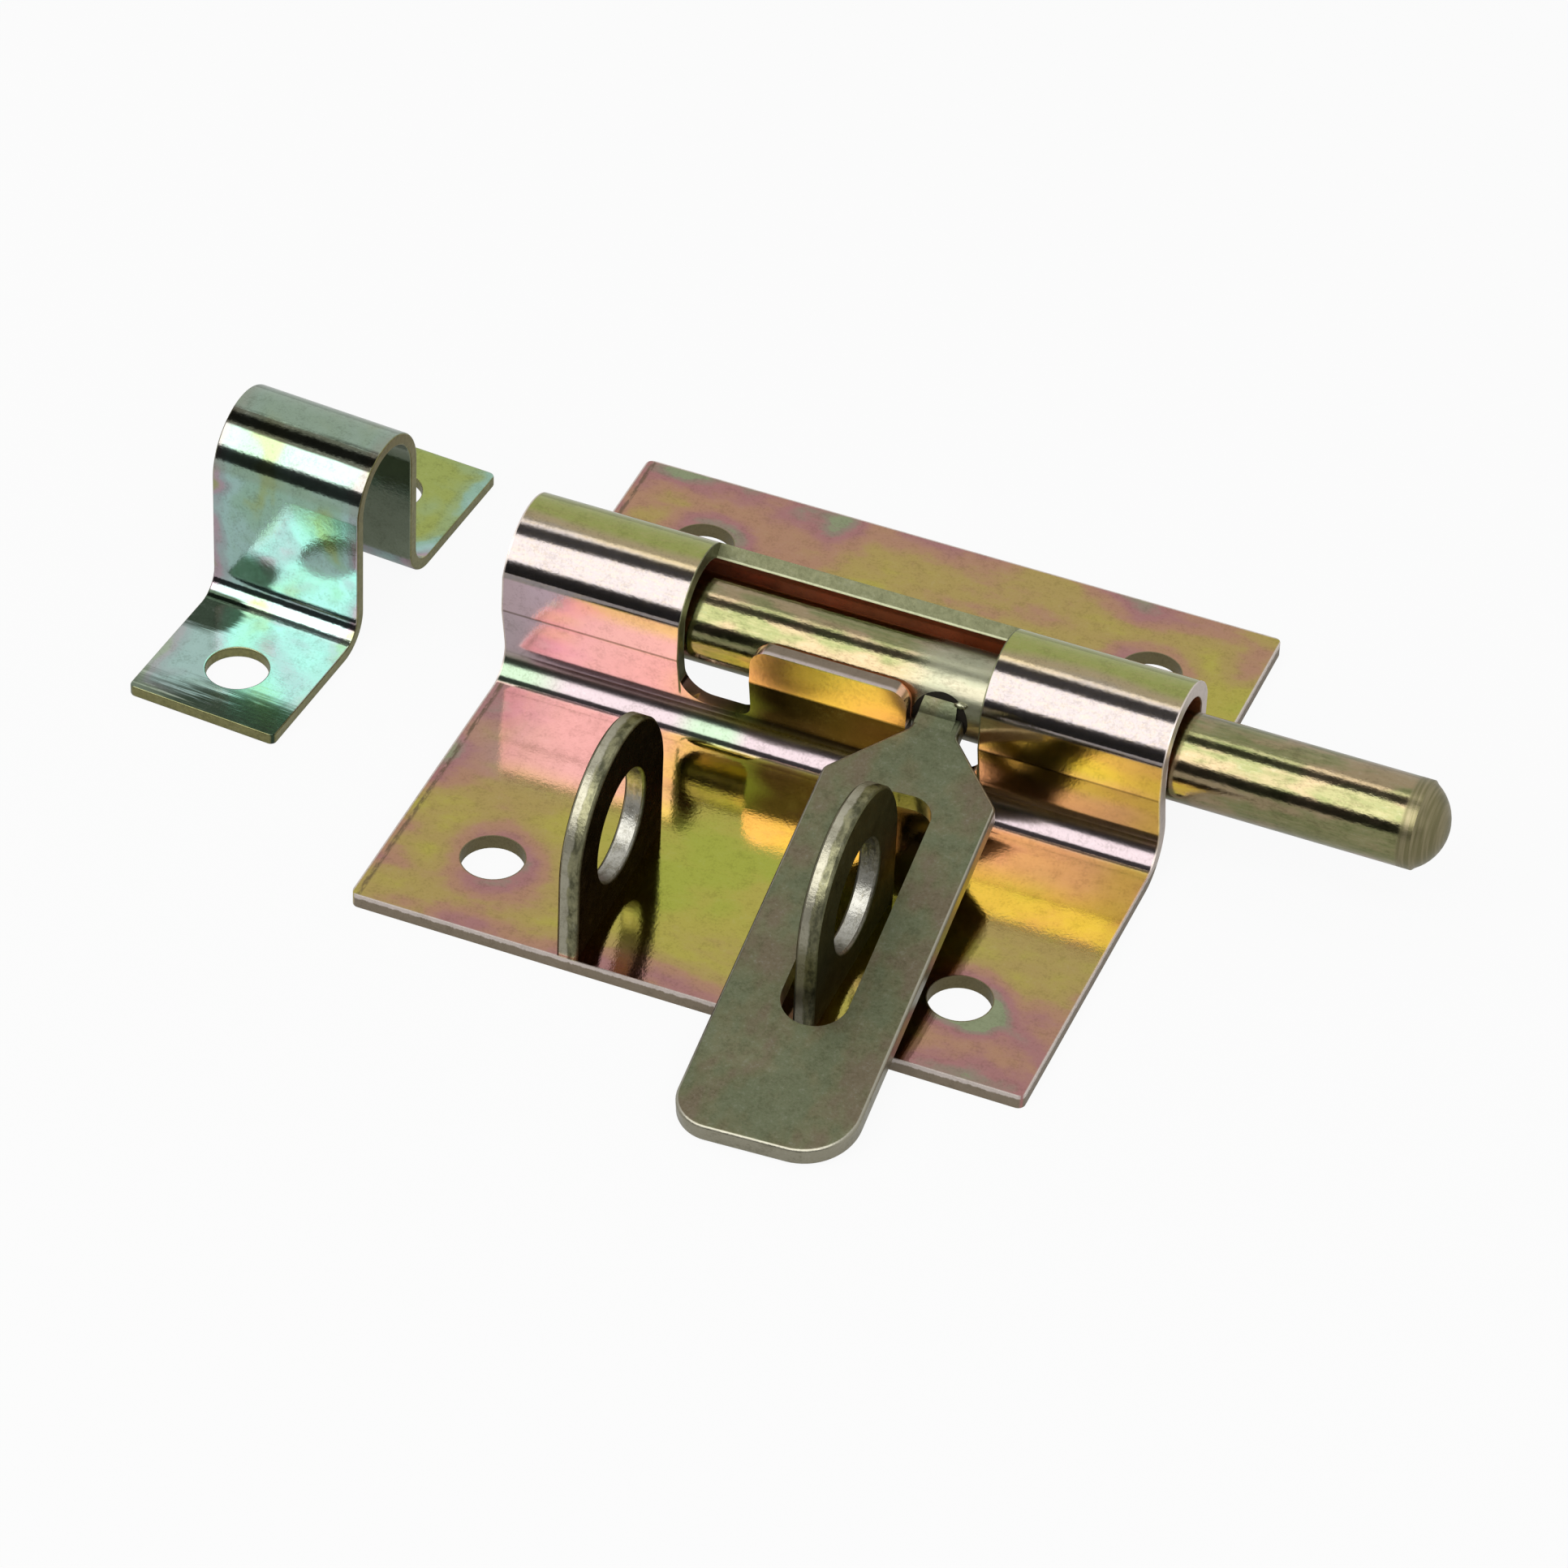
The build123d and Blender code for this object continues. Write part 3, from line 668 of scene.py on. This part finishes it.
def addNeckRoot():
    look = neckLook
    drop = math.radians(look["tilt"])
    topAlong, topHalf = look["neckTop"]

    def onNeck(along, lift):
        return (look["axisY"] - along * math.cos(drop) - lift * math.sin(drop),
                look["axisZ"] - along * math.sin(drop) + lift * math.cos(drop))

    # outline seen along the bolt, each point with its half width
    outline = [(onNeck(topAlong, look["halfThick"] + 0.01), topHalf)]
    for degrees, radius, half in look["rootCurve"]:
        turn = math.radians(degrees)
        point = (look["axisY"] - radius * math.cos(turn), look["axisZ"] + radius * math.sin(turn))
        outline.append((point, half))
    outline.append((onNeck(look["rodRadius"] - 0.8, 0.0), look["rootCurve"][-1][2]))
    outline.append((onNeck(topAlong - 0.2, 0.3), topHalf - 0.2))
    shell = bmesh.new()
    sides = []
    for side in (-1, 1):
        sides.append([shell.verts.new(((look["centreX"] + side * half) / 1000, y / 1000, z / 1000))
                      for (y, z), half in outline])
        shell.faces.new(sides[-1])
    for here in range(len(outline)):
        after = (here + 1) % len(outline)
        shell.faces.new((sides[0][here], sides[0][after], sides[1][after], sides[1][here]))
    bmesh.ops.recalc_face_normals(shell, faces=shell.faces)
    for edge in shell.edges:
        edge.smooth = edge.calc_face_angle(0.0) < math.radians(look["smoothAngle"])
    for face in shell.faces:
        face.smooth = True
    addHaspPiece("neckRoot", shell, handleMaterial)


# painted shade: the cross hole round the neck is a thin near-black slab laid on the bolt
def addCrossHole():
    look = neckLook
    count = look["holeSides"]
    rows = look["holeRows"]
    shell = bmesh.new()

    def addPoint(right, up, radius):
        arc = math.degrees(up / look["rodRadius"])
        x = look["centreX"] + look["holeShift"] + right
        return shell.verts.new(onRod(look, x, look["holeAngle"] + arc, radius))

    # rim and middle line, at the bolt's surface and under it
    radii = (look["rodRadius"] + look["holeProud"], look["rodRadius"] - look["holeDepth"])
    turns = [math.tau * step / count for step in range(count)]
    rings = [[addPoint(look["holeRadius"] * math.cos(turn), look["holeRadius"] * math.sin(turn), radius)
              for turn in turns] for radius in radii]
    middles = [[addPoint(0.0, look["holeRadius"] * (2.0 * row / rows - 1.0), radius)
                for row in range(1, rows)] for radius in radii]
    for ring, middle in zip(rings, middles):
        # columns from the lowest to the highest rim point on each side of the middle line
        for side in (1, -1):
            chain = [ring[(3 * count // 4 + side * step) % count] for step in range(count // 2 + 1)]
            line = [chain[0]] + middle + [chain[-1]]
            marks = [round(n * (len(line) - 1) / (len(chain) - 1)) for n in range(len(chain))]
            for n in range(len(chain) - 1):
                face = [chain[n], chain[n + 1], line[marks[n + 1]], line[marks[n]]]
                face = [v for k, v in enumerate(face) if v is not face[k - 1]]
                if len(set(face)) == len(face) and len(face) > 2:
                    shell.faces.new(face)
    for step in range(count):
        after = (step + 1) % count
        shell.faces.new((rings[0][step], rings[0][after], rings[1][after], rings[1][step]))
    addHaspPiece("crossHole", shell, gapMaterial)


def addBurr():
    look = neckLook
    shell = bmesh.new()
    bmesh.ops.create_icosphere(shell, subdivisions=3, radius=1.0)
    centre = Vector(onRod(look, look["centreX"] + look["burrX"], look["burrAngle"], look["rodRadius"] + 0.05))
    for vert in shell.verts:
        wave = math.sin(7.0 * vert.co.x + 3.0 * vert.co.z) * math.cos(5.0 * vert.co.y)
        ripple = 1.0 + look["burrRipple"] * wave
        vert.co = Vector([a * b for a, b in zip(vert.co * ripple, look["burrSize"])]) + centre
    for face in shell.faces:
        face.smooth = True
    addHaspPiece("stakingBurr", shell, rodMaterial)


def makeGapMaterial():
    material, tree, shader, mm = newMaterial("shadedGap")
    # near-black for the painted shade in the cross hole
    shader.inputs["Base Color"].default_value = (*neckLook["holeShade"], 1.0)
    shader.inputs["Specular IOR Level"].default_value = 0.1
    tree.links.new(ease(tree, noise(tree, mm, 1.5), 0.3, 0.7, 0.7, 0.95), shader.inputs["Roughness"])
    return material


gapMaterial = makeGapMaterial()
addNeckRoot()
addCrossHole()
addBurr()
print("neck staked")


# floor and room
roomLook = {"floorSize": 3.0, "floorColour": 0.50, "floorWhite": 0.93, "floorShine": 0.25,
            "roomGlow": 0.80, "fill": 0.50}


def makeFloor():
    look = roomLook
    mesh = bpy.data.meshes.new("paleFloor")
    size = look["floorSize"]
    mesh.from_pydata([(-size, -size, 0), (size, -size, 0), (size, size, 0), (-size, size, 0)], [],
                     [(0, 1, 2, 3)])
    floor = bpy.data.objects.new("paleFloor", mesh)
    bpy.context.collection.objects.link(floor)
    material = bpy.data.materials.new("paleFloor")
    material.use_nodes = True
    tree = material.node_tree
    tree.nodes.clear()
    rays = put(tree, "ShaderNodeLightPath").outputs
    seen = calc(tree, "MAXIMUM", rays["Is Camera Ray"], rays["Is Transmission Ray"])
    glow = calc(tree, "MAXIMUM", product(tree, seen, look["floorWhite"]),
                product(tree, rays["Is Glossy Ray"], look["floorShine"]))
    matt = put(tree, "ShaderNodeBsdfDiffuse", {"Color": (*[look["floorColour"]] * 3, 1.0)})
    white = put(tree, "ShaderNodeEmission", {"Color": (1.0, 1.0, 1.0, 1.0), "Strength": 1.0})
    both = put(tree, "ShaderNodeMixShader", {0: glow, 1: matt.outputs[0], 2: white.outputs[0]})
    put(tree, "ShaderNodeOutputMaterial", {0: both.outputs[0]})
    mesh.materials.append(material)


def makeRoom():
    look = roomLook
    world = bpy.data.worlds.new("paleRoom")
    bpy.context.scene.world = world
    world.use_nodes = True
    tree = world.node_tree
    tree.nodes.clear()
    rays = put(tree, "ShaderNodeLightPath").outputs
    mirror = calc(tree, "MAXIMUM", rays["Is Glossy Ray"], rays["Is Transmission Ray"])
    level = calc(tree, "MULTIPLY_ADD", mirror, look["roomGlow"] - look["fill"], look["fill"])
    level = calc(tree, "MAXIMUM", level, rays["Is Camera Ray"])
    back = put(tree, "ShaderNodeBackground", {0: (1.0, 1.0, 1.0, 1.0), 1: level})
    put(tree, "ShaderNodeOutputWorld", {0: back.outputs[0]})


# soft boxes along the bolt: angle over the horizon seen from the front, half height, both in degrees
lampLook = {"frontBox": {"angle": 53.0, "half": 23.0, "distance": 0.80, "width": 1.5, "glow": 2.2},
            "topBox": {"angle": 103.0, "half": 4.0, "distance": 0.85, "width": 1.5, "glow": 1.5}}


def addLamp(name, look):
    turn = math.radians(look["angle"])
    tall = 2.0 * look["distance"] * math.tan(math.radians(look["half"]))
    lamp = bpy.data.lights.new(name, "AREA")
    lamp.shape = "RECTANGLE"
    lamp.size, lamp.size_y = look["width"], tall
    lamp.energy = look["glow"] * math.pi * look["width"] * tall
    holder = bpy.data.objects.new(name, lamp)
    bpy.context.collection.objects.link(holder)
    spot = Vector((0.0, -math.cos(turn), math.sin(turn))) * look["distance"]
    facing = (-spot).to_track_quat("-Z", "Y").to_matrix().to_4x4()
    holder.matrix_world = Matrix.Translation(spot) @ facing


# cards that only show in the metal: the dark room under and over the front box
cardLook = {"lowCard": {"start": 0.5, "end": 28.0, "distance": 0.75, "width": 3.0, "level": 0.03},
            "overCard": {"start": 77.5, "end": 96.5, "distance": 0.75, "width": 3.0, "level": 0.10}}


def addCard(name, look):
    corners = []
    for turn in (math.radians(look["start"]), math.radians(look["end"])):
        for side in (-0.5, 0.5):
            corners.append((side * look["width"], -math.cos(turn) * look["distance"],
                            math.sin(turn) * look["distance"]))
    mesh = bpy.data.meshes.new(name)
    mesh.from_pydata(corners, [], [(0, 1, 3, 2)])
    card = bpy.data.objects.new(name, mesh)
    bpy.context.collection.objects.link(card)
    material = bpy.data.materials.new(name)
    material.use_nodes = True
    tree = material.node_tree
    tree.nodes.clear()
    glow = put(tree, "ShaderNodeEmission", {"Color": (1.0, 1.0, 1.0, 1.0), "Strength": look["level"]})
    put(tree, "ShaderNodeOutputMaterial", {0: glow.outputs[0]})
    mesh.materials.append(material)
    card.visible_camera = False
    card.visible_shadow = False
    card.visible_diffuse = False
    card.visible_transmission = False


makeFloor()
makeRoom()
for name, look in lampLook.items():
    addLamp(name, look)
for name, look in cardLook.items():
    addCard(name, look)
print("room lit")


# camera: where the photograph was taken from, in metres and degrees; lens and sensor in millimetres
cameraLook = {"azimuth": 20.29, "elevation": 40.96, "roll": 2.84, "distance": 0.84935,
              "target": (-0.00383, -0.0034, 0.0), "lens": 171.73, "sensor": 36.0, "clip": (0.02, 20.0)}


def addCamera():
    look = cameraLook
    azimuth, elevation, roll = (math.radians(look[k]) for k in ("azimuth", "elevation", "roll"))
    back = Vector((math.sin(azimuth) * math.cos(elevation), -math.cos(azimuth) * math.cos(elevation),
                   math.sin(elevation)))
    right = Vector((math.cos(azimuth), math.sin(azimuth), 0.0))
    up = back.cross(right)
    side = right * math.cos(roll) + up * math.sin(roll)
    top = up * math.cos(roll) - right * math.sin(roll)
    place = Vector(look["target"]) + back * look["distance"]
    camera = bpy.data.cameras.new("photoCamera")
    camera.sensor_width = look["sensor"]
    camera.lens = look["lens"]
    camera.clip_start, camera.clip_end = look["clip"]
    holder = bpy.data.objects.new("photoCamera", camera)
    bpy.context.collection.objects.link(holder)
    turned = Matrix((side, top, back)).transposed().to_4x4()
    holder.matrix_world = Matrix.Translation(place) @ turned
    bpy.context.scene.camera = holder


addCamera()
bpy.context.scene.view_settings.view_transform = "Standard"
print("camera placed")
